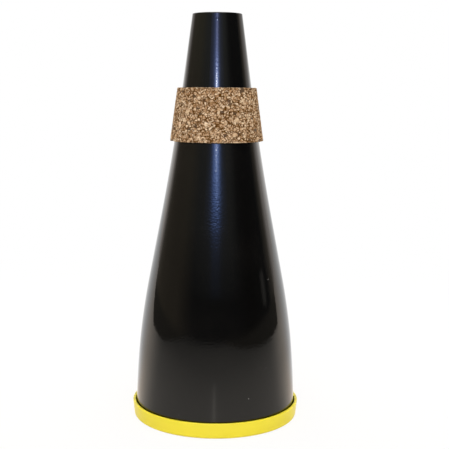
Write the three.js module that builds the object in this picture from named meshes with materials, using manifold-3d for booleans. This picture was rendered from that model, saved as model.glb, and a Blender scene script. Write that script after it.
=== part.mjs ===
// Practice mute for a small brass instrument: a moulded black shell with a cork collar round its neck
// and a yellow cap closing its wide end. Inside stand a narrow air tube and sound-absorbing foam.
// Millimetres, +Z up, the front of the mute faces -Y. The origin is the centre of the cap's underside.

import * as THREE from 'three';
import { mergeVertices } from 'three/addons/utils/BufferGeometryUtils.js';
import Module from 'manifold-3d';

const wasm = await Module();
wasm.setup();

// Overall height, cap included
const overallHeight = 165;

// Shell: half-angles are measured from the axis, heights from the cap's underside
const skirtRadius = 33.21;
const skirtHalfAngle = THREE.MathUtils.degToRad(1.38);
const bodyHalfAngle = THREE.MathUtils.degToRad(10.96);
const neckHalfAngle = THREE.MathUtils.degToRad(7.78);
const skirtTop = 8.7;
const bodyBottom = 57.5;
const bodyTop = 82.7;
const neckBottom = 139.8;
const shellWall = 2.0;
const lipOuterRounding = 0.25;
const lipInnerRounding = 0.7;
const gateMarkDiameter = 2.2;
const gateMarkDepth = 0.15;
const gateMarkBelowTip = 2.7;

// Cork collar
const collarBottom = 114.3;
const collarHeight = 21.4;
const collarLowerThickness = 1.9;
const collarUpperThickness = 2.2;
const collarEdgeRounding = 0.3;
const collarGlueGap = 0.3;
const seamWidth = 0.35;
const seamLean = THREE.MathUtils.degToRad(12);

// Base cap
const capFloorThickness = 1.8;
const capFootRecess = 0.6;
const capFootWidth = 4.0;
const capRimHeight = 6.45;
const capRimFlare = 0.7;
const capRimWall = 1.1;
const capTopRounding = 0.45;
const capBottomRounding = 0.8;
const capShellClearance = 0.35;
const capRingHeight = 6.0;
const capRingWall = 1.6;
const capBossHeight = 8.0;
const capBossWall = 1.6;

// Air tube
const tubeBore = 6.4;
const tubeWall = 1.3;
const tubeLength = 70;
const tubeEndRounding = 0.4;

// Foam
const padThickness = 12;
const linerThickness = 4.0;
const linerTop = 104;
const linerSeamWidth = 0.6;
const foamEdgeRounding = 1.0;

// Gap left between pieces that fit in or on one another
const fitGap = 0.3;

// How finely round shapes are divided
const turnSegments = 60;
const foamSegments = 36;
const smallTurnSegments = 24;
const skirtArcSteps = 8;
const neckArcSteps = 5;
const roundingSteps = 3;

// Passes that find the height on the skin above a point inside the wall
const offsetPasses = 4;

// Outline of the shell, as sections in which the sine of the half-angle changes evenly with height
const sections = [
  { from: 0, to: skirtTop, start: skirtHalfAngle, end: skirtHalfAngle, steps: 1 },
  { from: skirtTop, to: bodyBottom, start: skirtHalfAngle, end: bodyHalfAngle, steps: skirtArcSteps },
  { from: bodyBottom, to: bodyTop, start: bodyHalfAngle, end: bodyHalfAngle, steps: 1 },
  { from: bodyTop, to: neckBottom, start: bodyHalfAngle, end: neckHalfAngle, steps: neckArcSteps },
  { from: neckBottom, to: overallHeight, start: neckHalfAngle, end: neckHalfAngle, steps: 1 },
];

function sectionAngle(section, z) {
  const share = (z - section.from) / (section.to - section.from);
  return Math.asin(THREE.MathUtils.lerp(Math.sin(section.start), Math.sin(section.end), share));
}

function sectionDrop(section, z) {
  if (section.start === section.end) return (z - section.from) * Math.tan(section.start);
  const arcRadius = (section.to - section.from) / (Math.sin(section.end) - Math.sin(section.start));
  return arcRadius * (Math.cos(section.start) - Math.cos(sectionAngle(section, z)));
}

function sectionAt(z) {
  return sections.find((section) => z < section.to) ?? sections[sections.length - 1];
}

function halfAngleAt(z) {
  return sectionAngle(sectionAt(z), z);
}

// Outer radius of the shell at height z
function shellRadiusAt(z) {
  const current = sectionAt(z);
  let radius = skirtRadius;
  for (const section of sections) {
    if (section === current) break;
    radius -= sectionDrop(section, section.to);
  }
  return radius - sectionDrop(current, z);
}

// Point square to the shell's outer surface, depth below it
function pointUnderSkin(z, depth) {
  const angle = halfAngleAt(z);
  return new THREE.Vector2(shellRadiusAt(z) - depth * Math.cos(angle), z - depth * Math.sin(angle));
}

// Radius, at height z itself, of the surface that lies depth below the shell's outer surface
function radiusUnderSkin(z, depth) {
  let station = z;
  for (let pass = 0; pass < offsetPasses; pass += 1) {
    station = z + depth * Math.sin(halfAngleAt(station));
  }
  return pointUnderSkin(station, depth).x;
}

// Heights at which an outline between two heights needs a point
function stationsBetween(bottom, top) {
  const stations = [bottom];
  for (const section of sections) {
    for (let step = 1; step <= section.steps; step += 1) {
      const z = THREE.MathUtils.lerp(section.from, section.to, step / section.steps);
      if (z > bottom + fitGap && z < top - fitGap) stations.push(z);
    }
  }
  stations.push(top);
  return stations;
}

// Surface that lies depth below the shell's outer surface, from bottom to top
function lineUnderSkin(bottom, top, depth) {
  return stationsBetween(bottom, top).map((z) => new THREE.Vector2(radiusUnderSkin(z, depth), z));
}

// Outline with chosen corners rounded: each corner is a point with an optional rounding
function roundedOutline(corners) {
  const outline = [];
  corners.forEach((corner, index) => {
    const point = new THREE.Vector2(corner.r, corner.z);
    if (!corner.rounding) {
      outline.push(point);
      return;
    }
    const before = corners.at(index - 1);
    const after = corners[(index + 1) % corners.length];
    const inward = new THREE.Vector2(before.r, before.z).sub(point).normalize();
    const outward = new THREE.Vector2(after.r, after.z).sub(point).normalize();
    const start = point.clone().addScaledVector(inward, corner.rounding);
    const end = point.clone().addScaledVector(outward, corner.rounding);
    const bend = new THREE.QuadraticBezierCurve(start, point, end);
    outline.push(...bend.getPoints(roundingSteps));
  });
  return outline;
}

function corner(r, z, rounding = 0) {
  return { r, z, rounding };
}

function cornersOf(points) {
  return points.map((point) => corner(point.x, point.y));
}

// Body turned round the Z axis from a closed outline that runs counter-clockwise in the (radius, height) plane
function turned(outline, segments = turnSegments) {
  const geometry = new THREE.LatheGeometry([...outline, outline[0]], segments);
  geometry.rotateX(Math.PI / 2);
  return geometry;
}

function toManifold(geometry) {
  const bare = new THREE.BufferGeometry();
  bare.setAttribute('position', geometry.getAttribute('position').clone());
  if (geometry.index) bare.setIndex(geometry.index.clone());
  const merged = mergeVertices(bare);
  const mesh = new wasm.Mesh({
    numProp: 3,
    vertProperties: new Float32Array(merged.getAttribute('position').array),
    triVerts: new Uint32Array(merged.index.array),
  });
  return new wasm.Manifold(mesh);
}

function fromManifold(solid) {
  const mesh = solid.getMesh();
  const geometry = new THREE.BufferGeometry();
  geometry.setAttribute('position', new THREE.BufferAttribute(new Float32Array(mesh.vertProperties), 3));
  geometry.setIndex(new THREE.BufferAttribute(new Uint32Array(mesh.triVerts), 1));
  return geometry;
}

function piece(name, geometry, color, roughness) {
  const material = new THREE.MeshStandardMaterial({ color, roughness, metalness: 0 });
  const mesh = new THREE.Mesh(geometry, material);
  mesh.name = name;
  return mesh;
}

const capFloorTop = capFootRecess + capFloorThickness;
const tubeRadius = tubeBore / 2 + tubeWall;
const bossBore = tubeRadius + fitGap;
const bossRadius = bossBore + capBossWall;
const ringTop = capFloorTop + capRingHeight;
const ringRadius = Math.min(
  radiusUnderSkin(capFloorTop, shellWall),
  radiusUnderSkin(ringTop, shellWall),
) - fitGap;
const ringBore = ringRadius - capRingWall;
const padBottom = capFloorTop + fitGap;
const padTop = padBottom + padThickness;

// Shallow round mark that the mould's gate left on the front of the neck
function gateMarkCutter() {
  const chordRadius = gateMarkDiameter / 2;
  const ballRadius = (chordRadius ** 2 + gateMarkDepth ** 2) / (2 * gateMarkDepth);
  const z = overallHeight - gateMarkBelowTip;
  const ball = new THREE.SphereGeometry(ballRadius, smallTurnSegments, smallTurnSegments);
  ball.translate(0, -(shellRadiusAt(z) + ballRadius - gateMarkDepth), z);
  return ball;
}

// Moulded shell: one tapering wall, open at both ends, its wide end standing on the cap's floor
function shell() {
  const outside = lineUnderSkin(capFloorTop, overallHeight, 0);
  const inside = lineUnderSkin(capFloorTop, overallHeight, shellWall).reverse();
  outside.pop();
  inside.shift();
  const outline = roundedOutline([
    ...cornersOf(outside),
    corner(shellRadiusAt(overallHeight), overallHeight, lipOuterRounding),
    corner(radiusUnderSkin(overallHeight, shellWall), overallHeight, lipInnerRounding),
    ...cornersOf(inside),
  ]);
  const solid = toManifold(turned(outline)).subtract(toManifold(gateMarkCutter()));
  return piece('shell', fromManifold(solid), 0x16150f, 0.12);
}

// Upright slab at the back that parts the two ends of a strip bent round the axis; it may lean sideways
function slitCutter(width, bottom, height, reach, lean) {
  const cutter = new THREE.BoxGeometry(width, reach, 2 * height);
  cutter.rotateY(lean);
  cutter.translate(0, reach / 2, bottom + height / 2);
  return cutter;
}

// Cork strip glued round the neck, ground to a slightly slower taper than the neck's own
function corkCollar() {
  const top = collarBottom + collarHeight;
  const inside = lineUnderSkin(collarBottom, top, -collarGlueGap).reverse();
  const outline = roundedOutline([
    corner(shellRadiusAt(collarBottom) + collarLowerThickness, collarBottom, collarEdgeRounding),
    corner(shellRadiusAt(top) + collarUpperThickness, top, collarEdgeRounding),
    ...cornersOf(inside),
  ]);
  const reach = shellRadiusAt(collarBottom) + collarLowerThickness + collarUpperThickness;
  const slit = slitCutter(seamWidth, collarBottom, collarHeight, reach, seamLean);
  const solid = toManifold(turned(outline)).subtract(toManifold(slit));
  return piece('cork_collar', fromManifold(solid), 0x9b7c5c, 0.85);
}

// Yellow cap: floor, outer rim, locating ring inside the shell, and a boss that holds the air tube
function baseCap() {
  const rimBore = radiusUnderSkin(capFloorTop, 0) + capShellClearance;
  const rimRadius = rimBore + capRimWall;
  const footRadius = rimRadius - capRimFlare;
  const footBore = footRadius - capFootWidth;
  const outline = roundedOutline([
    corner(tubeBore / 2, capFootRecess),
    corner(footBore, capFootRecess),
    corner(footBore, 0),
    corner(footRadius, 0, capBottomRounding),
    corner(rimRadius, capRimHeight, capTopRounding),
    corner(rimBore, capRimHeight, capTopRounding),
    corner(rimBore, capFloorTop),
    corner(ringRadius, capFloorTop),
    corner(ringRadius, ringTop),
    corner(ringBore, ringTop),
    corner(ringBore, capFloorTop),
    corner(bossRadius, capFloorTop),
    corner(bossRadius, capFloorTop + capBossHeight),
    corner(bossBore, capFloorTop + capBossHeight),
    corner(bossBore, capFloorTop),
    corner(tubeBore / 2, capFloorTop),
  ]);
  return piece('base_cap', turned(outline), 0xf0de42, 0.5);
}

// Narrow tube that the air leaves through, standing in the cap's boss
function airTube() {
  const bottom = capFloorTop;
  const top = bottom + tubeLength;
  const outline = roundedOutline([
    corner(tubeBore / 2, bottom),
    corner(tubeRadius, bottom),
    corner(tubeRadius, top, tubeEndRounding),
    corner(tubeBore / 2, top, tubeEndRounding),
  ]);
  return piece('air_tube', turned(outline, smallTurnSegments), 0x1d1d1e, 0.35);
}

// Foam disc on the cap's floor, inside the locating ring and round the boss
function foamPad() {
  const outline = roundedOutline([
    corner(bossRadius + fitGap, padBottom),
    corner(ringBore - fitGap, padBottom),
    corner(ringBore - fitGap, padTop, foamEdgeRounding),
    corner(bossRadius + fitGap, padTop, foamEdgeRounding),
  ]);
  return piece('foam_pad', turned(outline, foamSegments), 0x3a3b3d, 0.95);
}

// Foam sheet rolled against the shell's inner wall, standing on the pad, its two edges meeting at the back
function foamLiner() {
  const bottom = padTop + fitGap;
  const outerDepth = shellWall + fitGap;
  const outside = lineUnderSkin(bottom, linerTop, outerDepth);
  const inside = lineUnderSkin(bottom, linerTop, outerDepth + linerThickness).reverse();
  const outline = roundedOutline(cornersOf([...outside, ...inside]));
  const slit = slitCutter(linerSeamWidth, bottom, linerTop - bottom, skirtRadius, 0);
  const solid = toManifold(turned(outline, foamSegments)).subtract(toManifold(slit));
  return piece('foam_liner', fromManifold(solid), 0x333436, 0.95);
}

const mute = new THREE.Group();
mute.add(shell(), corkCollar(), baseCap(), airTube(), foamPad(), foamLiner());

export default mute;
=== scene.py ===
import math

import bpy
from bpy.props import FloatProperty, FloatVectorProperty, PointerProperty
from mathutils import Matrix, Vector


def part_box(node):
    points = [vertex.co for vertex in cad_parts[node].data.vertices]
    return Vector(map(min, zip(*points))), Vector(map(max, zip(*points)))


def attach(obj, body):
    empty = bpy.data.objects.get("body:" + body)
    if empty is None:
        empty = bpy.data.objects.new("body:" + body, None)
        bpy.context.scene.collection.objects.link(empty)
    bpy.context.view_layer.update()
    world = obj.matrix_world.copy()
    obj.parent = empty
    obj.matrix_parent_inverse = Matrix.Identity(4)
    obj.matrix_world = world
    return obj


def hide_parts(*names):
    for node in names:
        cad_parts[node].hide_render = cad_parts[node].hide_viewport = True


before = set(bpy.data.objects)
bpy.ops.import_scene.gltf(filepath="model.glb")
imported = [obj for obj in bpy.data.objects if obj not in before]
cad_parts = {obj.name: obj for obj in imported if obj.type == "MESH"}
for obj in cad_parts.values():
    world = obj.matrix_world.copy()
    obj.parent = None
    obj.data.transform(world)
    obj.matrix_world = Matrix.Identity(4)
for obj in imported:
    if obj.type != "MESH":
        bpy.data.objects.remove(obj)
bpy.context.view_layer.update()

bl_info = {
    "name": "Practice mute",
    "version": (1, 0, 0),
    "blender": (4, 5, 0),
    "location": "3D View > Sidebar > Mute",
    "description": "Models a practice mute for a small brass instrument round its fixed frame",
    "category": "Object",
}

MM = 0.001
ROOT = "root"
PHOTO_PIXELS = 449

# How finely the pieces are divided
SHELL_VERTICES = 256
CAP_VERTICES = 256
CORK_VERTICES = 420
TUBE_VERTICES = 96
FOAM_VERTICES = 180
ROUNDING_STEPS = 6
MERGE_DISTANCE = 0.01 * MM
SMOOTH_ANGLE = math.radians(40)


def length(name, description, default):
    return FloatProperty(name=name, description=description, default=default, min=0.0,
                         unit="LENGTH", subtype="DISTANCE", precision=5)


def angle(name, description, degrees):
    return FloatProperty(name=name, description=description, default=math.radians(degrees),
                         unit="ROTATION", subtype="ANGLE")


def colour(name, description, default):
    return FloatVectorProperty(name=name, description=description, default=default, size=3,
                               min=0.0, max=1.0, subtype="COLOR")


def factor(name, description, default, top=1.0):
    return FloatProperty(name=name, description=description, default=default, min=0.0, max=top,
                         subtype="FACTOR" if top == 1.0 else "NONE")


class MUTE_PG_shell(bpy.types.PropertyGroup):
    """Sizes and finish of the moulded shell"""
    skirt_radius: length("Skirt radius", "Outer radius, drawn down to the cap's underside", 33.21 * MM)
    skirt_angle: angle("Skirt half-angle", "Half-angle of the skirt from the axis", 1.38)
    body_angle: angle("Body half-angle", "Half-angle of the body's cone", 10.96)
    neck_angle: angle("Neck half-angle", "Half-angle of the neck's cone", 7.78)
    skirt_top: length("Skirt top", "Height at which the skirt starts to curve in", 8.7 * MM)
    body_bottom: length("Body bottom", "Height at which the body's cone starts", 57.5 * MM)
    body_top: length("Body top", "Height at which the body's cone ends", 82.7 * MM)
    neck_bottom: length("Neck bottom", "Height at which the neck's cone starts", 139.8 * MM)
    tip: length("Tip", "Height of the open tip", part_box("shell")[1].z)
    bottom: length("Bottom", "Height of the shell's lower edge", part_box("shell")[0].z)
    wall: length("Wall", "Thickness of the wall", 2.0 * MM)
    outer_rounding: length("Outer lip rounding", "Rounding of the tip's outer edge", 0.25 * MM)
    inner_rounding: length("Inner lip rounding", "Rounding of the tip's inner edge", 0.7 * MM)
    ring_step: length("Ring step", "Distance between the rings of the mesh", 2.0 * MM)
    mark_radius: length("Gate mark radius", "Radius of the round gate mark", 1.3 * MM)
    mark_depth: length("Gate mark depth", "Depth of the round gate mark", 0.02 * MM)
    pip_radius: length("Gate pip radius", "Radius of the low pip in the gate mark", 0.95 * MM)
    pip_height: length("Gate pip height", "Height of the pip above the mark's floor", 0.04 * MM)
    mark_below_tip: length("Gate mark below tip", "Distance from the tip to the mark's middle", 2.7 * MM)
    mark_ring_step: length("Gate mark ring step", "Distance between the rings round the mark", 0.24 * MM)
    rub_azimuth: angle("Rub mark azimuth", "From the front to the mark, towards the right", 42.5)
    rub_height: length("Rub mark height", "Height of the rub mark's middle", 57.5 * MM)
    rub_length: length("Rub mark length", "Length of the rub mark", 15 * MM)
    rub_width: length("Rub mark width", "Width of the rub mark", 2.8 * MM)
    black: colour("Black", "Colour of the moulded plastic", (0.0016, 0.0015, 0.0013))
    smudged: colour("Smudged", "Colour where the plastic has been handled", (0.008, 0.007, 0.006))
    worn: colour("Worn", "Colour of scuffs, specks and the rub mark", (0.030, 0.029, 0.027))
    dusty: colour("Dusty", "Colour of the grains of dust", (0.35, 0.34, 0.33))
    roughness: factor("Roughness", "Roughness of the polished surface", 0.03)


class MUTE_PG_cork(bpy.types.PropertyGroup):
    """Sizes and finish of the cork collar"""
    bottom: length("Bottom", "Height of the lower edge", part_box("cork_collar")[0].z)
    top: length("Top", "Height of the upper edge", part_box("cork_collar")[1].z)
    lower_thickness: length("Lower thickness", "Cork at the lower edge, glue included", 1.8 * MM)
    upper_thickness: length("Upper thickness", "Cork at the upper edge, glue included", 2.05 * MM)
    glue: length("Glue", "Gap to the shell that the glue fills", 0.12 * MM)
    rounding: length("Edge rounding", "Rounding of the cut edges", 0.3 * MM)
    ring_step: length("Ring step", "Distance between the rings of the mesh", 0.26 * MM)
    seam_width: length("Seam width", "Gap between the strip's two ends", 0.35 * MM)
    seam_lean: angle("Seam lean", "Lean of the slanted seam at the back", 12)
    granule: length("Granule", "Usual size of a granule", 1.3 * MM)
    lump: length("Lump", "Size of the largest granules", 2.1 * MM)
    relief: length("Relief", "Depth of the gaps between the granules", 0.24 * MM)
    # The gaps' colour is partly the binder's own dark tone and partly painted shade in the pits between the
    # granules.
    gap: colour("Gap", "Colour of the gaps between the granules", (0.085, 0.032, 0.003))
    dark: colour("Dark granule", "Colour of the darkest granules", (0.165, 0.070, 0.017))
    middle: colour("Middle granule", "Colour of most granules", (0.390, 0.232, 0.116))
    pale: colour("Pale granule", "Colour of the palest granules", (0.760, 0.590, 0.400))
    bark: colour("Bark", "Colour of the dark granules of bark", (0.080, 0.042, 0.017))


class MUTE_PG_cap(bpy.types.PropertyGroup):
    """Sizes and finish of the base cap"""
    clearance: length("Clearance", "Gap between the rim's wall and the shell", 0.35 * MM)
    gap: length("Visible gap", "Gap at the rim's top, where its wall leans in", 0.21 * MM)
    rim_top: length("Rim top", "Height of the rim", 6.28 * MM)
    rim_flare: length("Rim flare", "How much the rim widens upwards", 0.7 * MM)
    rim_wall: length("Rim wall", "Thickness of the rim at its top", 1.1 * MM)
    floor: length("Floor", "Thickness of the floor", 1.8 * MM)
    foot_recess: length("Foot recess", "Depth of the panel inside the foot", 0.6 * MM)
    foot_width: length("Foot width", "Width of the ring that the mute stands on", 4.0 * MM)
    foot_rounding: length("Foot rounding", "Rounding of the foot's outer edge", 0.8 * MM)
    rim_rounding: length("Rim rounding", "Rounding of the rim's outer top edge", 0.45 * MM)
    crease_rounding: length("Crease rounding", "Rounding of the rim's inner top edge", 0.5 * MM)
    edge_rounding: length("Edge rounding", "Rounding of the small edges", 0.2 * MM)
    ring_height: length("Ring height", "Height of the locating ring above the floor", 6.0 * MM)
    ring_wall: length("Ring wall", "Thickness of the locating ring", 1.6 * MM)
    boss_height: length("Boss height", "Height of the air tube's boss above the floor", 8.0 * MM)
    boss_wall: length("Boss wall", "Thickness of the air tube's boss", 1.6 * MM)
    fit: length("Fit", "Gap between pieces that fit together", 0.3 * MM)
    yellow: colour("Yellow", "Colour of the moulded plastic", (0.850, 0.725, 0.030))
    roughness: factor("Roughness", "Roughness of the satin surface", 0.38)


class MUTE_PG_inside(bpy.types.PropertyGroup):
    """Sizes and finish of the air tube and the foam"""
    tube_bore: length("Tube bore", "Inner diameter of the air tube", 6.4 * MM)
    tube_rounding: length("Tube rounding", "Rounding of the tube's top edge", 0.4 * MM)
    foam_rounding: length("Foam rounding", "Rounding of the pad's upper edges", 1.0 * MM)
    foam_step: length("Foam ring step", "Distance between the rings of the mesh", 0.8 * MM)
    liner_thickness: length("Liner thickness", "Thickness of the foam sheet", 4.0 * MM)
    liner_seam: length("Liner seam", "Gap between the foam sheet's two edges", 0.6 * MM)
    cell: length("Foam cell", "Size of the foam's open cells", 0.9 * MM)
    cell_depth: length("Foam cell depth", "Depth of the foam's open cells", 0.22 * MM)
    tube_black: colour("Tube black", "Colour of the air tube", (0.012, 0.012, 0.012))
    tube_streak: colour("Tube streak", "Colour of the air tube's extrusion lines", (0.03, 0.03, 0.03))
    foam_grey: colour("Foam grey", "Colour of the foam's webs", (0.055, 0.056, 0.060))
    # Painted shade: the foam's open cells are coloured darker than its grey webs.
    foam_cell_shade: colour("Foam dark", "Colour of the foam's open cells", (0.008, 0.008, 0.009))


class MUTE_PG_studio(bpy.types.PropertyGroup):
    """The floor, the lamps, the surroundings and the camera"""
    camera_distance: length("Camera distance", "From the mute's axis to the lens", 389.5 * MM)
    camera_height: length("Camera height", "Height of the lens above the floor", 134.4 * MM)
    camera_tilt: angle("Camera tilt", "How far the camera looks down", 7.99)
    camera_roll: angle("Camera roll", "Turn of the camera about its own axis", 0.3412)
    focal_pixels: FloatProperty(name="Focal length in pixels", default=951.5,
                                description="Focal length in the photograph's pixels")
    offset_pixels: FloatProperty(name="Framing offset in pixels", default=8.33,
                                 description="How far left of the middle the mute's axis lies")
    floor_colour: colour("Floor", "Colour of the pale floor", (0.82, 0.79, 0.74))
    floor_mottle: colour("Floor mottle", "Colour of the floor's faint clouds", (0.77, 0.75, 0.71))
    floor_side: length("Floor side", "From the axis to the floor's sides, where they run straight", 0.43)
    floor_front: length("Floor front", "From the axis to the floor's front edge", 2.0)
    floor_back: length("Floor back", "From the axis to the floor's far edge", 2.8)
    floor_ahead: length("Straight ahead", "How far in front of the axis the floor starts to widen", 0.06)
    floor_behind: length("Straight behind", "How far behind the axis the floor starts to widen", 0.15)
    key: factor("Key", "Radiance of the softbox above the camera", 2.9, 50.0)
    glow: factor("Glow", "Radiance of the window's brightest part", 15.0, 50.0)
    rim: factor("Rim", "Radiance of the two strips behind the mute", 0.22, 50.0)
    cove: factor("Cove", "Radiance of the lamps over the floor", 0.8, 50.0)
    fill: factor("Fill", "Strength of the surroundings' even light", 0.72, 5.0)


# Outlines of turned pieces: lists of (radius, height)

def shell_sections(shell):
    """Sections of the outer skin, from below: each has its two heights and the half-angle at each."""
    return [
        (0.0, shell.skirt_top, shell.skirt_angle, shell.skirt_angle),
        (shell.skirt_top, shell.body_bottom, shell.skirt_angle, shell.body_angle),
        (shell.body_bottom, shell.body_top, shell.body_angle, shell.body_angle),
        (shell.body_top, shell.neck_bottom, shell.body_angle, shell.neck_angle),
        (shell.neck_bottom, shell.tip, shell.neck_angle, shell.neck_angle),
    ]


def section_angle(section, z):
    low, high, start, end = section
    share = (z - low) / (high - low)
    return math.asin(math.sin(start) + share * (math.sin(end) - math.sin(start)))


def section_drop(section, z):
    """How much the radius falls from the section's foot to height z."""
    low, high, start, end = section
    if start == end:
        return (z - low) * math.tan(start)
    arc_radius = (high - low) / (math.sin(end) - math.sin(start))
    return arc_radius * (math.cos(start) - math.cos(section_angle(section, z)))


def skin_at(shell, z):
    """Outer radius of the shell and its half-angle at height z."""
    radius = shell.skirt_radius
    sections = shell_sections(shell)
    for section in sections:
        if z <= section[1] or section is sections[-1]:
            return radius - section_drop(section, z), section_angle(section, z)
        radius -= section_drop(section, section[1])


def radius_under_skin(shell, z, depth):
    """Radius, at height z, of the surface that lies depth below the shell's outer skin."""
    station = z
    for _ in range(4):
        station = z + depth * math.sin(skin_at(shell, station)[1])
    radius, slope = skin_at(shell, station)
    return radius - depth * math.cos(slope)


def heights(bottom, top, step):
    count = max(1, round((top - bottom) / step))
    return [bottom + (top - bottom) * i / count for i in range(count + 1)]


def line_under_skin(shell, levels, depth):
    return [(radius_under_skin(shell, z, depth), z) for z in levels]


def straight(start, end, step):
    """Points from start to end, evenly spaced by about step."""
    a, b = Vector(start), Vector(end)
    count = max(1, round((b - a).length / step))
    return [tuple(a.lerp(b, i / count)) for i in range(count + 1)]


def rounded(before, corner, after, rounding):
    """The corner replaced by a curve that leaves both its sides at the rounding's distance."""
    corner = Vector(corner)
    start = corner + (Vector(before) - corner).normalized() * rounding
    end = corner + (Vector(after) - corner).normalized() * rounding
    shares = [i / ROUNDING_STEPS for i in range(ROUNDING_STEPS + 1)]
    return [tuple(start * (1 - t) ** 2 + corner * 2 * t * (1 - t) + end * t ** 2) for t in shares]


def rounded_outline(corners):
    """Closed outline of (radius, height, rounding) corners."""
    outline = []
    for i, (radius, z, rounding) in enumerate(corners):
        if rounding:
            after = corners[(i + 1) % len(corners)]
            outline += rounded(corners[i - 1][:2], (radius, z), after[:2], rounding)
        else:
            outline.append((radius, z))
    return outline


def sleeve_outline(bore, low, high, rounding):
    """Outline of a straight ring round a bore, whose box goes from low to high, with a rounded top."""
    return rounded_outline([
        (bore, low.z, 0.0),
        (high.x, low.z, 0.0),
        (high.x, high.z, rounding),
        (bore, high.z, rounding),
    ])


# Modelling

def deselect_everything():
    if bpy.context.object and bpy.context.object.mode != "OBJECT":
        bpy.ops.object.mode_set(mode="OBJECT")
    bpy.ops.object.select_all(action="DESELECT")


def make_active(piece):
    deselect_everything()
    piece.select_set(True)
    bpy.context.view_layer.objects.active = piece


def turn(name, outline, vertices):
    """A ring-shaped body: a circle extruded ring by ring along the closed outline, back to its start."""
    radius, z = outline[0]
    deselect_everything()
    bpy.ops.mesh.primitive_circle_add(vertices=vertices, radius=radius, location=(0, 0, z))
    piece = bpy.context.object
    piece.name = name
    piece.data.name = name
    bpy.ops.object.transform_apply(location=True, rotation=True, scale=True)
    bpy.ops.object.mode_set(mode="EDIT")
    bpy.ops.mesh.select_all(action="SELECT")
    for next_radius, next_z in [*outline[1:], outline[0]]:
        bpy.ops.mesh.extrude_region_move(TRANSFORM_OT_translate={"value": (0, 0, next_z - z)})
        growth = next_radius / radius
        bpy.ops.transform.resize(value=(growth, growth, 1), center_override=(0, 0, 0))
        radius, z = next_radius, next_z
    bpy.ops.mesh.select_all(action="SELECT")
    bpy.ops.mesh.remove_doubles(threshold=MERGE_DISTANCE)
    bpy.ops.mesh.normals_make_consistent(inside=False)
    bpy.ops.object.mode_set(mode="OBJECT")
    return piece


def edit_one(piece, kind, find):
    """Enters edit mode with one vertex or edge selected, the one that find returns for the mesh."""
    make_active(piece)
    bpy.ops.object.mode_set(mode="EDIT")
    bpy.ops.mesh.select_mode(type=kind)
    bpy.ops.mesh.select_all(action="DESELECT")
    bpy.ops.object.mode_set(mode="OBJECT")
    find(piece.data).select = True
    bpy.ops.object.mode_set(mode="EDIT")


def push_spot(piece, centre, push, radius):
    """Moves the vertex nearest to centre by the push, and those within the radius less and less."""
    def nearest(mesh):
        return min(mesh.vertices, key=lambda vertex: (vertex.co - Vector(centre)).length)
    edit_one(piece, "VERT", nearest)
    bpy.ops.transform.translate(value=push, use_proportional_edit=True, use_proportional_connected=True,
                                proportional_edit_falloff="SMOOTH", proportional_size=radius)
    bpy.ops.object.mode_set(mode="OBJECT")


def cut_slit(piece, width, bottom, top, reach, lean):
    """Parts a ring at the back by an upright slab, which may lean sideways."""
    middle = (0, reach / 2, (bottom + top) / 2)
    deselect_everything()
    bpy.ops.mesh.primitive_cube_add(size=1, location=middle, rotation=(0, lean, 0))
    slab = bpy.context.object
    bpy.ops.transform.resize(value=(width, reach, 2 * (top - bottom)), orient_type="LOCAL")
    make_active(piece)
    cut = piece.modifiers.new("Slit", "BOOLEAN")
    cut.operation = "DIFFERENCE"
    cut.solver = "EXACT"
    cut.object = slab
    bpy.ops.object.modifier_apply(modifier=cut.name)
    bpy.data.objects.remove(slab, do_unlink=True)


def press_relief(piece, pattern):
    """Moves the surface along its normals by a pattern, with an applied geometry nodes modifier."""
    make_active(piece)
    tree = bpy.data.node_groups.new(piece.name + "_relief", "GeometryNodeTree")
    tree.interface.new_socket("Geometry", in_out="INPUT", socket_type="NodeSocketGeometry")
    tree.interface.new_socket("Geometry", in_out="OUTPUT", socket_type="NodeSocketGeometry")
    graph = Graph(tree)
    place = graph.node("GeometryNodeInputPosition").out("Position")
    normal = graph.node("GeometryNodeInputNormal").out("Normal")
    offset = graph.scaled(normal, pattern(graph, place))
    entry = graph.node("NodeGroupInput").out("Geometry")
    moved = graph.node("GeometryNodeSetPosition", {}, {"Geometry": entry, "Offset": offset})
    graph.node("NodeGroupOutput", {}, {"Geometry": moved.out("Geometry")})
    modifier = piece.modifiers.new("Relief", "NODES")
    modifier.node_group = tree
    bpy.ops.object.modifier_apply(modifier=modifier.name)


def finish_piece(piece, node, material):
    """Smooths the piece, gives it its material and sets it in the place of its CAD node."""
    make_active(piece)
    bpy.ops.object.shade_smooth_by_angle(angle=SMOOTH_ANGLE)
    piece.data.materials.clear()
    piece.data.materials.append(material)
    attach(piece, ROOT)
    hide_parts(node)


# Nodes written as expressions

def math_method(operation, reflected=False):
    """A method for Wire that adds one Math node."""
    def method(self, other):
        first, second = (other, self) if reflected else (self, other)
        return self.graph.maths(operation, first, second)
    return method


class Wire:
    """A socket's value: arithmetic on it adds the Math nodes."""

    def __init__(self, graph, socket):
        self.graph = graph
        self.socket = socket

    def __abs__(self):
        return self.graph.maths("ABSOLUTE", self)

    __add__ = __radd__ = math_method("ADD")
    __mul__ = __rmul__ = math_method("MULTIPLY")
    __sub__ = math_method("SUBTRACT")
    __rsub__ = math_method("SUBTRACT", reflected=True)
    __truediv__ = math_method("DIVIDE")
    __rtruediv__ = math_method("DIVIDE", reflected=True)
    __gt__ = math_method("GREATER_THAN")
    __lt__ = math_method("LESS_THAN")


class NodeHandle:
    """A node whose outputs are read as wires."""

    def __init__(self, graph, node):
        self.graph = graph
        self.node = node

    def out(self, name):
        return Wire(self.graph, self.node.outputs[name])


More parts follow.
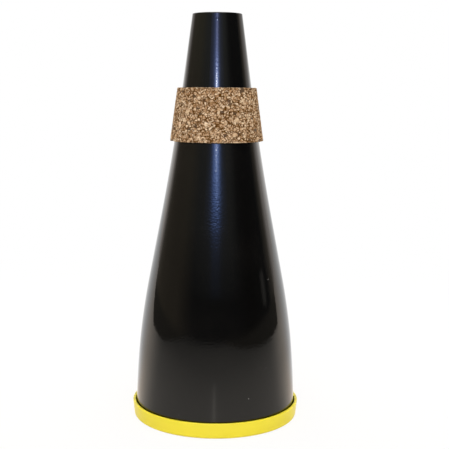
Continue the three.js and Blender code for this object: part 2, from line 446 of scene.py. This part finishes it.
class Graph:
    """Adds nodes to one tree."""

    def __init__(self, tree):
        tree.nodes.clear()
        self.tree = tree

    def node(self, kind, settings=None, inputs=None):
        node = self.tree.nodes.new(kind)
        for name, value in (settings or {}).items():
            if name == "stops":
                self.set_stops(node.color_ramp, value)
            else:
                setattr(node, name, value)
        for name, value in (inputs or {}).items():
            if isinstance(value, Wire):
                self.tree.links.new(value.socket, node.inputs[name])
            else:
                node.inputs[name].default_value = value
        return NodeHandle(self, node)

    @staticmethod
    def set_stops(ramp, stops):
        while len(ramp.elements) < len(stops):
            ramp.elements.new(1.0)
        for element, (position, shade) in zip(ramp.elements, stops):
            element.position = position
            element.color = (*shade, 1.0)

    def maths(self, operation, first, second=0.0):
        return self.node("ShaderNodeMath", {"operation": operation}, {0: first, 1: second}).out(0)

    def scaled(self, vector, amount):
        return self.node("ShaderNodeVectorMath", {"operation": "SCALE"},
                         {"Vector": vector, "Scale": amount}).out("Vector")

    def added(self, first, second):
        return self.node("ShaderNodeVectorMath", {"operation": "ADD"}, {0: first, 1: second}).out("Vector")

    def stretched(self, vector, scale):
        return self.node("ShaderNodeVectorMath", {"operation": "MULTIPLY"},
                         {0: vector, 1: scale}).out("Vector")

    @staticmethod
    def rgba(tone):
        return tone if isinstance(tone, Wire) else (*tone, 1.0)

    def mixed(self, first, second, share):
        """The tone first where share is 0, second where it is 1."""
        return self.node("ShaderNodeMix", {"data_type": "RGBA"},
                         {"Factor": share, 6: self.rgba(first), 7: self.rgba(second)}).out(2)

    def ramp(self, value, stops):
        return self.node("ShaderNodeValToRGB", {"stops": stops}, {"Fac": value}).out("Color")

    def chosen(self, share, first, second):
        """The shader first where share is 0, second where it is 1."""
        return self.node("ShaderNodeMixShader", {}, {"Fac": share, 1: first, 2: second}).out("Shader")

    def background(self, tone, strength):
        backdrop = self.node("ShaderNodeBackground", {}, {"Color": self.rgba(tone), "Strength": strength})
        return backdrop.out("Background")

    def step(self, value, low, high, start=0.0, end=1.0):
        """A smooth rise from start to end as value goes from low to high."""
        return self.node("ShaderNodeMapRange", {"interpolation_type": "SMOOTHSTEP"},
                         {"Value": value, "From Min": low, "From Max": high,
                          "To Min": start, "To Max": end}).out("Result")

    def noise(self, place, size, detail=3.0, roughness=0.5, output="Fac"):
        """Noise from 0 to 1 whose main feature is about as long as size."""
        return self.node("ShaderNodeTexNoise", {}, {"Vector": place, "Scale": 1 / size, "Detail": detail,
                                                    "Roughness": roughness}).out(output)

    def cells(self, place, size):
        """Irregular cells, about as wide as size, each with a random colour."""
        return self.node("ShaderNodeTexVoronoi", {}, {"Vector": place, "Scale": 1 / size})

    def borders(self, place, size):
        """How far the nearest border between the same cells lies, as a share of size."""
        return self.node("ShaderNodeTexVoronoi", {"feature": "DISTANCE_TO_EDGE"},
                         {"Vector": place, "Scale": 1 / size}).out("Distance")

    def dots(self, place, spacing, share, rarity):
        """Round dots, whose radius is a share of the spacing, in the few cells that top the rarity."""
        cell = self.cells(place, spacing)
        return (cell.out("Distance") < share) * (self.split(cell.out("Color"))[0] > rarity)

    def split(self, vector):
        parts = self.node("ShaderNodeSeparateXYZ", {}, {"Vector": vector})
        return parts.out("X"), parts.out("Y"), parts.out("Z")


def new_material(name):
    material = bpy.data.materials.new(name)
    material.use_nodes = True
    graph = Graph(material.node_tree)
    place = graph.node("ShaderNodeTexCoord").out("Object")
    return material, graph, place


def close_material(graph, settings, relief, depth):
    """Ends a material in its surface shader; relief is a height from 0 to 1, and depth is its real size."""
    bump = graph.node("ShaderNodeBump", {}, {"Strength": 1.0, "Distance": depth, "Height": relief})
    surface = graph.node("ShaderNodeBsdfPrincipled", {}, {**settings, "Normal": bump.out("Normal")})
    graph.node("ShaderNodeOutputMaterial", {}, {"Surface": surface.out("BSDF")})


# Lengths of the features in the finishes

SMUDGE = 22 * MM
SCUFF_PATCH = 14 * MM
SCUFF = 0.35 * MM
DUST_SPACING = 7 * MM
SPECK_SPACING = 4.3 * MM
SWELL = 13 * MM
RIPPLE = 2.5 * MM
ORANGE_PEEL = 0.7 * MM
GRANULE_BEND = 1.6 * MM
GRANULE_SHIFT = 0.8 * MM
CRACK_CHANGE = 1.3 * MM
CRUMB = 0.6 * MM
GRIT = 0.3 * MM
CAP_CLOUD = 9 * MM
CAP_RUB = 3 * MM
CAP_GRAIN = 0.25 * MM
TUBE_LINE = 0.4 * MM

# Depths of the bumps
SHELL_BUMP = 0.018 * MM
CORK_BUMP = 0.12 * MM
CAP_BUMP = 0.012 * MM
TUBE_BUMP = 0.01 * MM
FOAM_BUMP = 0.12 * MM


# Patterns that both the surface and its colour follow

def cork_granules(graph, place, cork):
    """Gap mask, tone and bark mask of bonded cork granules; the gaps' dark colour is partly the binder's
    tone and partly painted shade.
    """
    squat = graph.stretched(place, (1.0, 1.0, 1.2))
    drift = graph.added(graph.noise(squat, GRANULE_BEND, 1.0, output="Color"), (-0.5, -0.5, -0.5))
    warped = graph.added(squat, graph.scaled(drift, GRANULE_SHIFT))
    small = graph.cells(warped, cork.granule)
    small_edge = graph.borders(warped, cork.granule)
    big = graph.cells(warped, cork.lump)
    big_edge = graph.borders(warped, cork.lump)
    small_tone, chance, _ = graph.split(small.out("Color"))
    big_tone, big_chance, big_kind = graph.split(big.out("Color"))
    lump = graph.step(big_edge, 0.08, 0.14) * (big_chance > 0.92)
    uneven = small_edge + (graph.noise(squat, CRACK_CHANGE, 1.0) - 0.5) * 0.40
    flake, pit, _ = graph.split(graph.cells(warped, cork.granule * 0.5).out("Color"))
    crack = graph.step(uneven, 0.02, 0.17, 1.0, 0.0)
    gap = graph.maths("MAXIMUM", crack, (pit > 0.88) * 0.85) * (1 - lump)
    loose = small_tone * 0.55 + flake * 0.55 + 0.10
    tone = loose * (1 - lump) + (big_tone * 0.3 + flake * 0.3 + 0.45) * lump
    bark = (chance > 0.97) * (1 - lump) + (big_kind > 0.75) * lump
    return gap, tone, bark


def cork_relief(cork):
    def pattern(graph, place):
        gap, tone, _ = cork_granules(graph, place, cork)
        crumbs = graph.noise(place, CRUMB)
        height = (1 - gap) * 0.75 + tone * 0.35 + crumbs * 0.5 - 1.20
        return height * cork.relief
    return pattern


def foam_relief(inside):
    def pattern(graph, place):
        edge = graph.borders(place, inside.cell)
        return graph.step(edge, 0.04, 0.35, 0.0, -1.0) * inside.cell_depth
    return pattern


# Materials

def rub_mark(graph, place, shell):
    """Mask of the long rub mark, which fades out at its sides and its ends."""
    x, y, z = graph.split(place)
    sine, cosine = math.sin(shell.rub_azimuth), math.cos(shell.rub_azimuth)
    across, along = abs(x * cosine + y * sine), abs(z - shell.rub_height)
    side_fade = graph.step(across, 0.1 * shell.rub_width, 0.6 * shell.rub_width, 1.0, 0.0)
    end_fade = graph.step(along, 0.3 * shell.rub_length, 0.55 * shell.rub_length, 1.0, 0.0)
    return side_fade * (x * sine > y * cosine) * end_fade


def shell_plastic(shell):
    material, graph, place = new_material("black_shell")
    smudge = graph.step(graph.noise(place, SMUDGE, 4.0, 0.6), 0.45, 0.75)
    hair = graph.stretched(place, (1.0, 1.0, 0.04))
    scuffs = graph.step(graph.noise(hair, SCUFF, 2.0), 0.70, 0.78)
    worn = scuffs * graph.step(graph.noise(place, SCUFF_PATCH), 0.50, 0.62)
    dust = graph.dots(place, DUST_SPACING, 0.028, 0.86)
    speck = graph.dots(graph.stretched(place, (1.0, 1.0, 0.7)), SPECK_SPACING, 0.025, 0.88)
    handled = graph.mixed(shell.black, shell.smudged, smudge * 0.2)
    wear = worn * 0.5 + speck * 0.9 + rub_mark(graph, place, shell) * 0.3
    tint = graph.mixed(handled, shell.worn, wear)
    base = graph.mixed(tint, shell.dusty, dust * 0.8)
    rough = smudge * 0.02 + worn * 0.10 + dust * 0.5 + shell.roughness
    fine = graph.noise(place, ORANGE_PEEL, 1.0) * 0.55
    coarse = graph.noise(place, RIPPLE, 2.0) * 0.08
    relief = graph.noise(place, SWELL, 1.0) * 0.8 + coarse + fine
    close_material(graph, {"Base Color": base, "Roughness": rough, "IOR": 1.59}, relief, SHELL_BUMP)
    return material


def cork_sheet(cork):
    material, graph, place = new_material("cork")
    gap, tone, bark = cork_granules(graph, place, cork)
    grit = graph.noise(place, GRIT, 3.0, 0.6)
    shade = tone * 0.80 + grit * 0.8 - 0.28
    granules = graph.ramp(shade, [(0.0, cork.dark), (0.5, cork.middle), (1.0, cork.pale)])
    barked = graph.mixed(granules, cork.bark, bark * 0.95)
    # Darkens the cracks and pits: partly the binder's tone, partly painted shade in the hollows.
    base = graph.mixed(barked, cork.gap, gap)
    rough = grit * 0.2 + gap * 0.1 + 0.62 - bark * 0.3
    relief = (1 - gap) * 0.6 + grit * 0.4
    close_material(graph, {"Base Color": base, "Roughness": rough, "Specular IOR Level": 0.04,
                           "Coat Weight": bark * 0.6, "Coat Roughness": 0.3}, relief, CORK_BUMP)
    return material


def cap_plastic(cap):
    material, graph, place = new_material("yellow_cap")
    cloud = graph.noise(place, CAP_CLOUD)
    grain = graph.noise(place, CAP_GRAIN, 2.0)
    squat = graph.stretched(place, (1.0, 1.0, 3.0))
    rub = graph.step(graph.noise(squat, CAP_RUB, 4.0, 0.65), 0.62, 0.72)
    deeper = tuple(channel * 0.93 for channel in cap.yellow)
    base = graph.mixed(cap.yellow, deeper, cloud * 0.6 + rub * 0.4)
    rough = cloud * 0.08 + rub * 0.06 + grain * 0.06 + (cap.roughness - 0.1)
    close_material(graph, {"Base Color": base, "Roughness": rough, "IOR": 1.5}, grain, CAP_BUMP)
    return material


def tube_plastic(inside):
    material, graph, place = new_material("tube_plastic")
    lines = graph.noise(graph.stretched(place, (1.0, 1.0, 0.02)), TUBE_LINE, 2.0)
    base = graph.mixed(inside.tube_black, inside.tube_streak, lines * 0.5)
    close_material(graph, {"Base Color": base, "Roughness": lines * 0.15 + 0.3}, lines, TUBE_BUMP)
    return material


def foam(inside):
    material, graph, place = new_material("foam")
    edge = graph.borders(place, inside.cell)
    fine = graph.borders(place, inside.cell * 0.4)
    web = graph.step(edge, 0.03, 0.22, 1.0, 0.0)
    fine_web = graph.step(fine, 0.03, 0.2, 1.0, 0.0)
    # Painted shade in the open cells; the webs keep the foam's grey.
    base = graph.mixed(inside.foam_cell_shade, inside.foam_grey, web * 0.6 + fine_web * 0.4)
    close_material(graph, {"Base Color": base, "Roughness": 0.95 - web * 0.1, "Specular IOR Level": 0.2},
                   web * 0.7 + fine_web * 0.3, FOAM_BUMP)
    return material


# Pieces

class MUTE_OT_shell(bpy.types.Operator):
    """Turn the glossy moulded shell and press its gate mark"""
    bl_idname = "mute.shell"
    bl_label = "Shell"

    def execute(self, context):
        shell = context.scene.mute_shell
        mark = shell.tip - shell.mark_below_tip
        plain_top = mark - 2 * shell.mark_radius
        fine_top = shell.tip - shell.outer_rounding
        levels = heights(shell.bottom, plain_top, shell.ring_step)
        levels += heights(plain_top, fine_top, shell.mark_ring_step)[1:]
        outside = line_under_skin(shell, levels, 0.0)
        inside = line_under_skin(shell, heights(shell.bottom, shell.tip, shell.ring_step)[:-1], shell.wall)
        outer_corner = (radius_under_skin(shell, shell.tip, 0.0), shell.tip)
        inner_corner = (radius_under_skin(shell, shell.tip, shell.wall), shell.tip)
        lip = rounded(outside[-1], outer_corner, inner_corner, shell.outer_rounding)
        lip += rounded(outer_corner, inner_corner, inside[-1], shell.inner_rounding)
        piece = turn("shell_body", outside[:-1] + lip + inside[::-1], SHELL_VERTICES)
        radius, slope = skin_at(shell, mark)
        inward = Vector((0, math.cos(slope), -math.sin(slope)))
        push_spot(piece, (0, -radius, mark), inward * shell.mark_depth, shell.mark_radius)
        push_spot(piece, (0, -radius, mark), -inward * shell.pip_height, shell.pip_radius)
        finish_piece(piece, "shell", shell_plastic(shell))
        return {"FINISHED"}


class MUTE_OT_cork_collar(bpy.types.Operator):
    """Turn the cork collar, cut its seam and press the granules' relief"""
    bl_idname = "mute.cork_collar"
    bl_label = "Cork collar"

    def execute(self, context):
        shell = context.scene.mute_shell
        cork = context.scene.mute_cork
        lower = (skin_at(shell, cork.bottom)[0] + cork.lower_thickness, cork.bottom)
        upper = (skin_at(shell, cork.top)[0] + cork.upper_thickness, cork.top)
        levels = heights(cork.bottom, cork.top, 10 * cork.ring_step)
        inside = line_under_skin(shell, levels, -cork.glue)
        step = (Vector(upper) - Vector(lower)).normalized() * cork.rounding
        face = straight(Vector(lower) + step, Vector(upper) - step, cork.ring_step)
        outline = rounded(inside[0], lower, upper, cork.rounding)[:-1] + face
        outline += rounded(lower, upper, inside[-1], cork.rounding)[1:]
        outline += straight(outline[-1], inside[-1], cork.ring_step)[1:-1] + inside[::-1]
        outline += straight(inside[0], outline[0], cork.ring_step)[1:-1]
        piece = turn("cork_band", outline, CORK_VERTICES)
        reach = lower[0] + cork.upper_thickness
        cut_slit(piece, cork.seam_width, cork.bottom, cork.top, reach, cork.seam_lean)
        press_relief(piece, cork_relief(cork))
        finish_piece(piece, "cork_collar", cork_sheet(cork))
        return {"FINISHED"}


class MUTE_OT_base_cap(bpy.types.Operator):
    """Turn the yellow cap with its rim, locating ring and boss"""
    bl_idname = "mute.base_cap"
    bl_label = "Base cap"

    def execute(self, context):
        shell = context.scene.mute_shell
        cap = context.scene.mute_cap
        inside = context.scene.mute_inside
        floor_top = cap.foot_recess + cap.floor
        rim_radius = skin_at(shell, floor_top)[0] + cap.clearance + cap.rim_wall
        rim_bore = skin_at(shell, floor_top)[0] + cap.gap
        foot_radius = rim_radius - cap.rim_flare
        foot_bore = foot_radius - cap.foot_width
        ring_top = floor_top + cap.ring_height
        ring_radius = min(radius_under_skin(shell, z, shell.wall) for z in (floor_top, ring_top)) - cap.fit
        ring_bore = ring_radius - cap.ring_wall
        hole = inside.tube_bore / 2
        boss_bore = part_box("air_tube")[1].x + cap.fit
        boss_radius = boss_bore + cap.boss_wall
        boss_top = floor_top + cap.boss_height
        edge = cap.edge_rounding
        outline = rounded_outline([
            (hole, cap.foot_recess, edge),
            (foot_bore, cap.foot_recess, edge),
            (foot_bore, 0.0, edge),
            (foot_radius, 0.0, cap.foot_rounding),
            (rim_radius, cap.rim_top, cap.rim_rounding),
            (rim_bore, cap.rim_top, cap.crease_rounding),
            (rim_bore, floor_top, 0.0),
            (ring_radius, floor_top, 0.0),
            (ring_radius, ring_top, edge),
            (ring_bore, ring_top, edge),
            (ring_bore, floor_top, edge),
            (boss_radius, floor_top, edge),
            (boss_radius, boss_top, edge),
            (boss_bore, boss_top, edge),
            (boss_bore, floor_top, 0.0),
            (hole, floor_top, 0.0),
        ])
        piece = turn("yellow_base_cap", outline, CAP_VERTICES)
        finish_piece(piece, "base_cap", cap_plastic(cap))
        return {"FINISHED"}


class MUTE_OT_air_tube(bpy.types.Operator):
    """Turn the air tube that stands in the cap's boss"""
    bl_idname = "mute.air_tube"
    bl_label = "Air tube"

    def execute(self, context):
        inside = context.scene.mute_inside
        low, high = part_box("air_tube")
        outline = sleeve_outline(inside.tube_bore / 2, low, high, inside.tube_rounding)
        piece = turn("air_tube_body", outline, TUBE_VERTICES)
        finish_piece(piece, "air_tube", tube_plastic(inside))
        return {"FINISHED"}


class MUTE_OT_foam(bpy.types.Operator):
    """Cut the foam pad and roll the foam liner"""
    bl_idname = "mute.foam"
    bl_label = "Foam"

    def finish(self, piece, node, inside, material):
        press_relief(piece, foam_relief(inside))
        finish_piece(piece, node, material)

    def pad(self, cap, inside, material):
        low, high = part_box("foam_pad")
        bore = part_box("air_tube")[1].x + cap.boss_wall + 2 * cap.fit
        outline = sleeve_outline(bore, low, high, inside.foam_rounding)
        fine = []
        for here, there in zip(outline, [*outline[1:], outline[0]]):
            fine += straight(here, there, inside.foam_step)[:-1]
        self.finish(turn("foam_disc", fine, FOAM_VERTICES), "foam_pad", inside, material)

    def liner(self, shell, cap, inside, material):
        low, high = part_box("foam_liner")
        levels = heights(low.z, high.z, inside.foam_step)
        near = shell.wall + cap.fit
        outer = line_under_skin(shell, levels, near)
        inner = line_under_skin(shell, levels, near + inside.liner_thickness)
        outline = outer + straight(outer[-1], inner[-1], inside.foam_step)[1:-1] + inner[::-1]
        outline += straight(inner[0], outer[0], inside.foam_step)[1:-1]
        piece = turn("foam_sheet", outline, FOAM_VERTICES)
        cut_slit(piece, inside.liner_seam, low.z, high.z, shell.skirt_radius, 0.0)
        self.finish(piece, "foam_liner", inside, material)

    def execute(self, context):
        scene = context.scene
        material = foam(scene.mute_inside)
        self.pad(scene.mute_cap, scene.mute_inside, material)
        self.liner(scene.mute_shell, scene.mute_cap, scene.mute_inside, material)
        return {"FINISHED"}


# Studio

# Where the lamps hang, as azimuth and elevation in degrees and distance from the mute's middle
MIDDLE = Vector((0, 0, 0.09))
KEY_PLACE = (0, 50, 1.1)
WINDOW_PLACE = (-0.8, 16.45, 3.0)
RIM_PLACES = [(-147, 3, 1.6), (147, 3, 1.6)]

# Their widths and heights, the window's as half-angles in degrees, and their tints
KEY_SIZE = (1.0, 0.70)
WINDOW_SPREAD = (24, 9)
RIM_SIZE = (0.9, 0.25)
DAYLIGHT = (1.0, 0.98, 0.95)
WARM = (1.0, 0.95, 0.90)

# Lamps that hang over the floor and shine down: place, size and share of the cove's radiance
COVE_LAMPS = [((0, 1.7, 1.0), (1.6, 1.4), 1.3)]
COVE_LAMPS += [((x, 0.16, 0.55), (0.30, 0.46), 1.2) for x in (-0.23, 0.23)]
COVE_SPREAD = math.radians(60)

# Tones that the shell mirrors
WHITE = (1.0, 1.0, 1.0)
COVE_PALE = (1.0, 0.97, 0.94)
COVE_WARM = (0.88, 0.80, 0.74)
CORNER = (0.25, 0.22, 0.18)
WALL = (0.19, 0.16, 0.12)
DUSK = (0.035, 0.036, 0.039)
DARK = (0.015, 0.015, 0.016)
UPPER_WALL = (0.10, 0.105, 0.07)
CEILING = (0.18, 0.19, 0.185)
NOTHING = (0.0, 0.0, 0.0)
TABLE_END = (0.105, 0.095, 0.08)
FLOOR_BESIDE = (1.0, 0.86, 0.73)

# Tones of the window: round its hot core, high up, across the sky, in the pane below and in its streak
HALO = (0.135, 0.21, 0.46)
SHINE = (0.095, 0.085, 0.085)
SKY = (0.028, 0.055, 0.175)
PANE = (0.046, 0.088, 0.24)
PANE_STREAK = (0.15, 0.20, 0.34)

# The room's tones by azimuth in degrees: at every height, and added as the elevation goes up
ROOM = [(-180, WHITE), (-146, COVE_PALE), (-131, COVE_WARM), (-120, CORNER), (-110, WALL), (-66, WALL),
        (-38, DUSK), (30, DUSK), (60, DARK), (97, DUSK), (112, CORNER), (122, COVE_WARM), (142, COVE_PALE),
        (180, WHITE)]
ROOM_ABOVE = [(-120, NOTHING), (-103, UPPER_WALL), (-66, UPPER_WALL), (-36, CEILING), (30, CEILING),
              (48, DUSK), (100, NOTHING)]
ABOVE_START = 6
ABOVE_FULL = 19

# The pale cove behind the mute, in degrees: its edges, their softness, its turn and where it dims
COVE_EDGE = 118
COVE_SOFTNESS = 6
COVE_TURN = 3
COVE_DIM_START = 3
COVE_DIM_END = 9
COVE_DIM_SHARE = 0.3

# The floor's gap and clouds, and how much its far edge, about the pivot, and its front edge widen
FLOOR_GAP = 0.05 * MM
FLOOR_CLOUD = 0.05
BACK_GROWTH = 12.3
BACK_PIVOT = -0.096
FRONT_GROWTH = 2.7

SENSOR_WIDTH_MM = 36.0
CLIP_START = 0.01
CLIP_END = 20.0


def area_lamp(name, place, target, size, radiance, tint=WHITE):
    """Rectangular lamp that faces the target."""
    lamp = bpy.data.lights.new(name, "AREA")
    lamp.shape = "RECTANGLE"
    lamp.size, lamp.size_y = size
    lamp.energy = radiance * math.pi * size[0] * size[1]
    lamp.color = tint
    holder = bpy.data.objects.new(name, lamp)
    bpy.context.scene.collection.objects.link(holder)
    facing = (target - place).to_track_quat("-Z", "Y")
    holder.matrix_world = Matrix.Translation(place) @ facing.to_matrix().to_4x4()
    holder.visible_camera = False
    return lamp


def place_around(azimuth, elevation, distance):
    """Point round the mute's middle; azimuth 0 is the camera's side, positive to its right."""
    turned, raised = math.radians(azimuth), math.radians(elevation)
    direction = Vector((math.sin(turned) * math.cos(raised), -math.cos(turned) * math.cos(raised),
                        math.sin(raised)))
    return MIDDLE + direction * distance


def shade_window(lamp, half_angles):
    """Shapes the lamp's light, in degrees from its middle: a hot core, sky above, a blue pane below."""
    lamp.use_nodes = True
    graph = Graph(lamp.node_tree)
    u, v, _ = graph.split(graph.node("ShaderNodeTexCoord").out("UV"))
    across = (u - 0.5) * (2 * half_angles[0])
    up = (v - 0.5) * (2 * half_angles[1])
    off = across - 0.6
    raised = up - 0.2
    spot = 1 / (across * across / 2.0 + raised * raised / 0.14 + 1)
    away = up * up / 2.6 + off * off / 30
    lean = graph.step(across, -14, 14, 1.5, 0.5)
    open_sky = graph.step(up, -0.7, -0.2)
    upper = graph.step(up, 0.2, 1.2)
    below = graph.maths("MAXIMUM", -1.6 - up, 0.0)
    wide = across * across / 62
    base = (1 - open_sky) / ((wide * wide + 1) * (below * below * 2 + 1))
    drift = across + up * 3.2 + 3.2
    streak = graph.step(up, -1.80, -1.74) * graph.step(up, -1.10, -1.0, 1.0, 0.0) / (drift * drift / 4 + 1)
    core = graph.scaled(WHITE, spot * spot * 4.0)
    halo = graph.scaled(HALO, open_sky / (away * away + 1))
    shine = graph.scaled(SHINE, upper / (across * across / 7 + 1))
    sky = graph.scaled(SKY, upper * lean / (off * off / 30 + 1))
    pane = graph.added(graph.scaled(PANE, base), graph.scaled(PANE_STREAK, streak))
    light = graph.added(graph.added(core, halo), graph.added(graph.added(shine, sky), pane))
    shining = graph.node("ShaderNodeEmission", {}, {"Color": light, "Strength": 1.0})
    graph.node("ShaderNodeOutputLight", {}, {"Surface": shining.out("Emission")})


def around(tones):
    """Ramp stops from tones by azimuth in degrees, with 0 in front and -180 and 180 behind."""
    return [(degrees / 360 + 0.5, tone) for degrees, tone in tones]


def sine_of(degrees):
    return math.sin(math.radians(degrees))


def light_world(studio):
    """White to the camera, a room with a white cove behind to reflections, an even fill to the rest."""
    world = bpy.data.worlds.new("surroundings")
    bpy.context.scene.world = world
    world.use_nodes = True
    graph = Graph(world.node_tree)
    path = graph.node("ShaderNodeLightPath")
    x, y, z = graph.split(graph.node("ShaderNodeTexCoord").out("Generated"))
    turned = graph.maths("ARCTAN2", x, 0 - y) / math.tau + 0.5
    level = graph.ramp(turned, around(ROOM))
    above = graph.ramp(turned, around(ROOM_ABOVE))
    raised = graph.step(z, sine_of(ABOVE_START), sine_of(ABOVE_FULL))
    off_front = abs(turned + (COVE_TURN / 360 - 0.5))
    behind = graph.step(off_front, (COVE_EDGE - COVE_SOFTNESS) / 360, (COVE_EDGE + COVE_SOFTNESS) / 360)
    dimmed = behind * graph.step(z, sine_of(COVE_DIM_START), sine_of(COVE_DIM_END), 0.0, COVE_DIM_SHARE)
    wall = graph.added(graph.scaled(level, 1 - dimmed), graph.scaled(above, raised))
    room = graph.mixed(wall, TABLE_END, graph.step(z, -0.03, 0.0, 1.0, 0.0) * (1 - behind))
    even = graph.background(DAYLIGHT, studio.fill)
    lit = graph.chosen(path.out("Is Glossy Ray"), even, graph.background(room, 1.0))
    seen = graph.chosen(path.out("Is Camera Ray"), lit, graph.background(WHITE, 1.0))
    graph.node("ShaderNodeOutputWorld", {}, {"Surface": seen})


def floor_material(studio):
    """Pale floor: white to the camera with its shadow kept; to the shell, white behind, dimmer in front."""
    material, graph, place = new_material("pale_floor")
    x, y, _ = graph.split(place)
    reach = graph.maths("SQRT", x * x + y * y)
    path = graph.node("ShaderNodeLightPath")
    mirrored = path.out("Is Glossy Ray")
    clouds = graph.noise(place, FLOOR_CLOUD, 2.0) * 0.3
    pale = graph.mixed(studio.floor_colour, studio.floor_mottle, clouds)

    # What the shell mirrors in front: dark from painted shade, with a painted pool of light near the mute
    # and a painted reflection of the window as a short streak in the middle
    ahead = graph.step((y + 0.015) / reach, -0.10, 0.80, 1.0, 0.0)
    beside = x / reach + 0.02
    streak = 1 / (beside * beside * 900 + 1)
    kept = 0.62 / (reach / 0.21 + 1) + streak * graph.step(reach, 0.08, 0.2, 0.35, 0.0) + 0.13
    colour = graph.mixed(pale, NOTHING, mirrored * ahead * (1 - kept))
    matte = graph.node("ShaderNodeBsdfDiffuse", {}, {"Color": colour}).out("BSDF")

    # What it mirrors behind: white, but warmer at the sides and brighter near the mute, where a pool of
    # light is painted
    tint = graph.mixed(WHITE, FLOOR_BESIDE, mirrored * graph.step(y / reach, 0.3, 0.8, 1.0, 0.0))
    bright = graph.scaled(tint, mirrored * graph.step(reach, 0.08, 0.17, 0.30, 0.08) + 1)
    white = graph.node("ShaderNodeEmission", {}, {"Color": bright, "Strength": 1.0}).out("Emission")
    seen = path.out("Is Camera Ray") * graph.step(reach, 0.10, 0.38, 0.88, 1.0) + mirrored * (1 - ahead)
    graph.node("ShaderNodeOutputMaterial", {}, {"Surface": graph.chosen(seen, matte, white)})
    return material


class MUTE_OT_studio(bpy.types.Operator):
    """Lay the pale floor, hang the lamps and set up the camera"""
    bl_idname = "mute.studio"
    bl_label = "Studio"

    def extend_floor(self, floor, side, distance, growth, pivot):
        """Extrudes the floor's front edge (side -1) or back edge (side 1) and widens it about x = pivot."""
        def outermost(mesh):
            return max(mesh.edges, key=lambda e: side * sum(mesh.vertices[i].co.y for i in e.vertices))
        edit_one(floor, "EDGE", outermost)
        bpy.ops.mesh.extrude_region_move(TRANSFORM_OT_translate={"value": (0, side * distance, 0)})
        bpy.ops.transform.resize(value=(growth, 1, 1), center_override=(pivot, 0, 0))
        bpy.ops.object.mode_set(mode="OBJECT")

    def floor(self, studio):
        deselect_everything()
        side, ahead, behind = studio.floor_side, studio.floor_ahead, studio.floor_behind
        bpy.ops.mesh.primitive_plane_add(size=2, location=(0, (behind - ahead) / 2, -FLOOR_GAP))
        floor = bpy.context.object
        floor.name = "floor"
        bpy.ops.transform.resize(value=(side, (behind + ahead) / 2, 1))
        bpy.ops.object.transform_apply(location=True, rotation=True, scale=True)
        self.extend_floor(floor, 1, studio.floor_back - behind, BACK_GROWTH, BACK_PIVOT)
        self.extend_floor(floor, -1, studio.floor_front - ahead, FRONT_GROWTH, side)
        bpy.ops.object.mode_set(mode="EDIT")
        bpy.ops.mesh.select_all(action="SELECT")
        bpy.ops.mesh.normals_make_consistent(inside=False)
        bpy.ops.object.mode_set(mode="OBJECT")
        floor.data.materials.append(floor_material(studio))

    def lamps(self, studio):
        area_lamp("key_softbox", place_around(*KEY_PLACE), MIDDLE, KEY_SIZE, studio.key, DAYLIGHT)
        pane = [2 * WINDOW_PLACE[2] * math.tan(math.radians(half)) for half in WINDOW_SPREAD]
        window = area_lamp("window_glow", place_around(*WINDOW_PLACE), MIDDLE, pane, studio.glow)
        shade_window(window, WINDOW_SPREAD)
        for place in RIM_PLACES:
            area_lamp("rim_strip", place_around(*place), MIDDLE, RIM_SIZE, studio.rim, WARM)
        for place, size, share in COVE_LAMPS:
            hung = Vector(place)
            lamp = area_lamp("cove_lamp", hung, hung + Vector((0, 0, -1)), size, studio.cove * share, WARM)
            lamp.spread = COVE_SPREAD

    def camera(self, studio):
        data = bpy.data.cameras.new("camera")
        data.sensor_width = SENSOR_WIDTH_MM
        data.lens = data.sensor_width * studio.focal_pixels / PHOTO_PIXELS
        data.shift_x = studio.offset_pixels / PHOTO_PIXELS
        data.clip_start = CLIP_START
        data.clip_end = CLIP_END
        camera = bpy.data.objects.new("camera", data)
        bpy.context.scene.collection.objects.link(camera)
        place = Matrix.Translation((0, -studio.camera_distance, studio.camera_height))
        tilt = Matrix.Rotation(math.pi / 2 - studio.camera_tilt, 4, "X")
        camera.matrix_world = place @ tilt @ Matrix.Rotation(studio.camera_roll, 4, "Z")
        bpy.context.scene.camera = camera

    def execute(self, context):
        studio = context.scene.mute_studio
        self.floor(studio)
        self.lamps(studio)
        light_world(studio)
        self.camera(studio)
        context.scene.view_settings.view_transform = "Standard"
        return {"FINISHED"}


class MUTE_PT_sidebar(bpy.types.Panel):
    """Sizes and finishes of the mute, and a button for each piece"""
    bl_label = "Practice mute"
    bl_idname = "MUTE_PT_sidebar"
    bl_space_type = "VIEW_3D"
    bl_region_type = "UI"
    bl_category = "Mute"

    def draw(self, context):
        for operator, group in STEPS:
            box = self.layout.box()
            box.operator(operator.bl_idname)
            settings = getattr(context.scene, group)
            for name in settings.__annotations__:
                box.prop(settings, name)


GROUPS = {
    "mute_shell": MUTE_PG_shell,
    "mute_cork": MUTE_PG_cork,
    "mute_cap": MUTE_PG_cap,
    "mute_inside": MUTE_PG_inside,
    "mute_studio": MUTE_PG_studio,
}
STEPS = [
    (MUTE_OT_studio, "mute_studio"),
    (MUTE_OT_shell, "mute_shell"),
    (MUTE_OT_cork_collar, "mute_cork"),
    (MUTE_OT_base_cap, "mute_cap"),
    (MUTE_OT_air_tube, "mute_inside"),
    (MUTE_OT_foam, "mute_inside"),
]


def register():
    for name, group in GROUPS.items():
        bpy.utils.register_class(group)
        setattr(bpy.types.Scene, name, PointerProperty(type=group))
    for operator, _ in STEPS:
        bpy.utils.register_class(operator)
    bpy.utils.register_class(MUTE_PT_sidebar)


def unregister():
    bpy.utils.unregister_class(MUTE_PT_sidebar)
    for operator, _ in STEPS:
        bpy.utils.unregister_class(operator)
    for name, group in GROUPS.items():
        delattr(bpy.types.Scene, name)
        bpy.utils.unregister_class(group)


def main():
    register()
    bpy.ops.mute.studio()
    bpy.ops.mute.shell()
    bpy.ops.mute.cork_collar()
    bpy.ops.mute.base_cap()
    bpy.ops.mute.air_tube()
    bpy.ops.mute.foam()


if __name__ == "__main__":
    main()
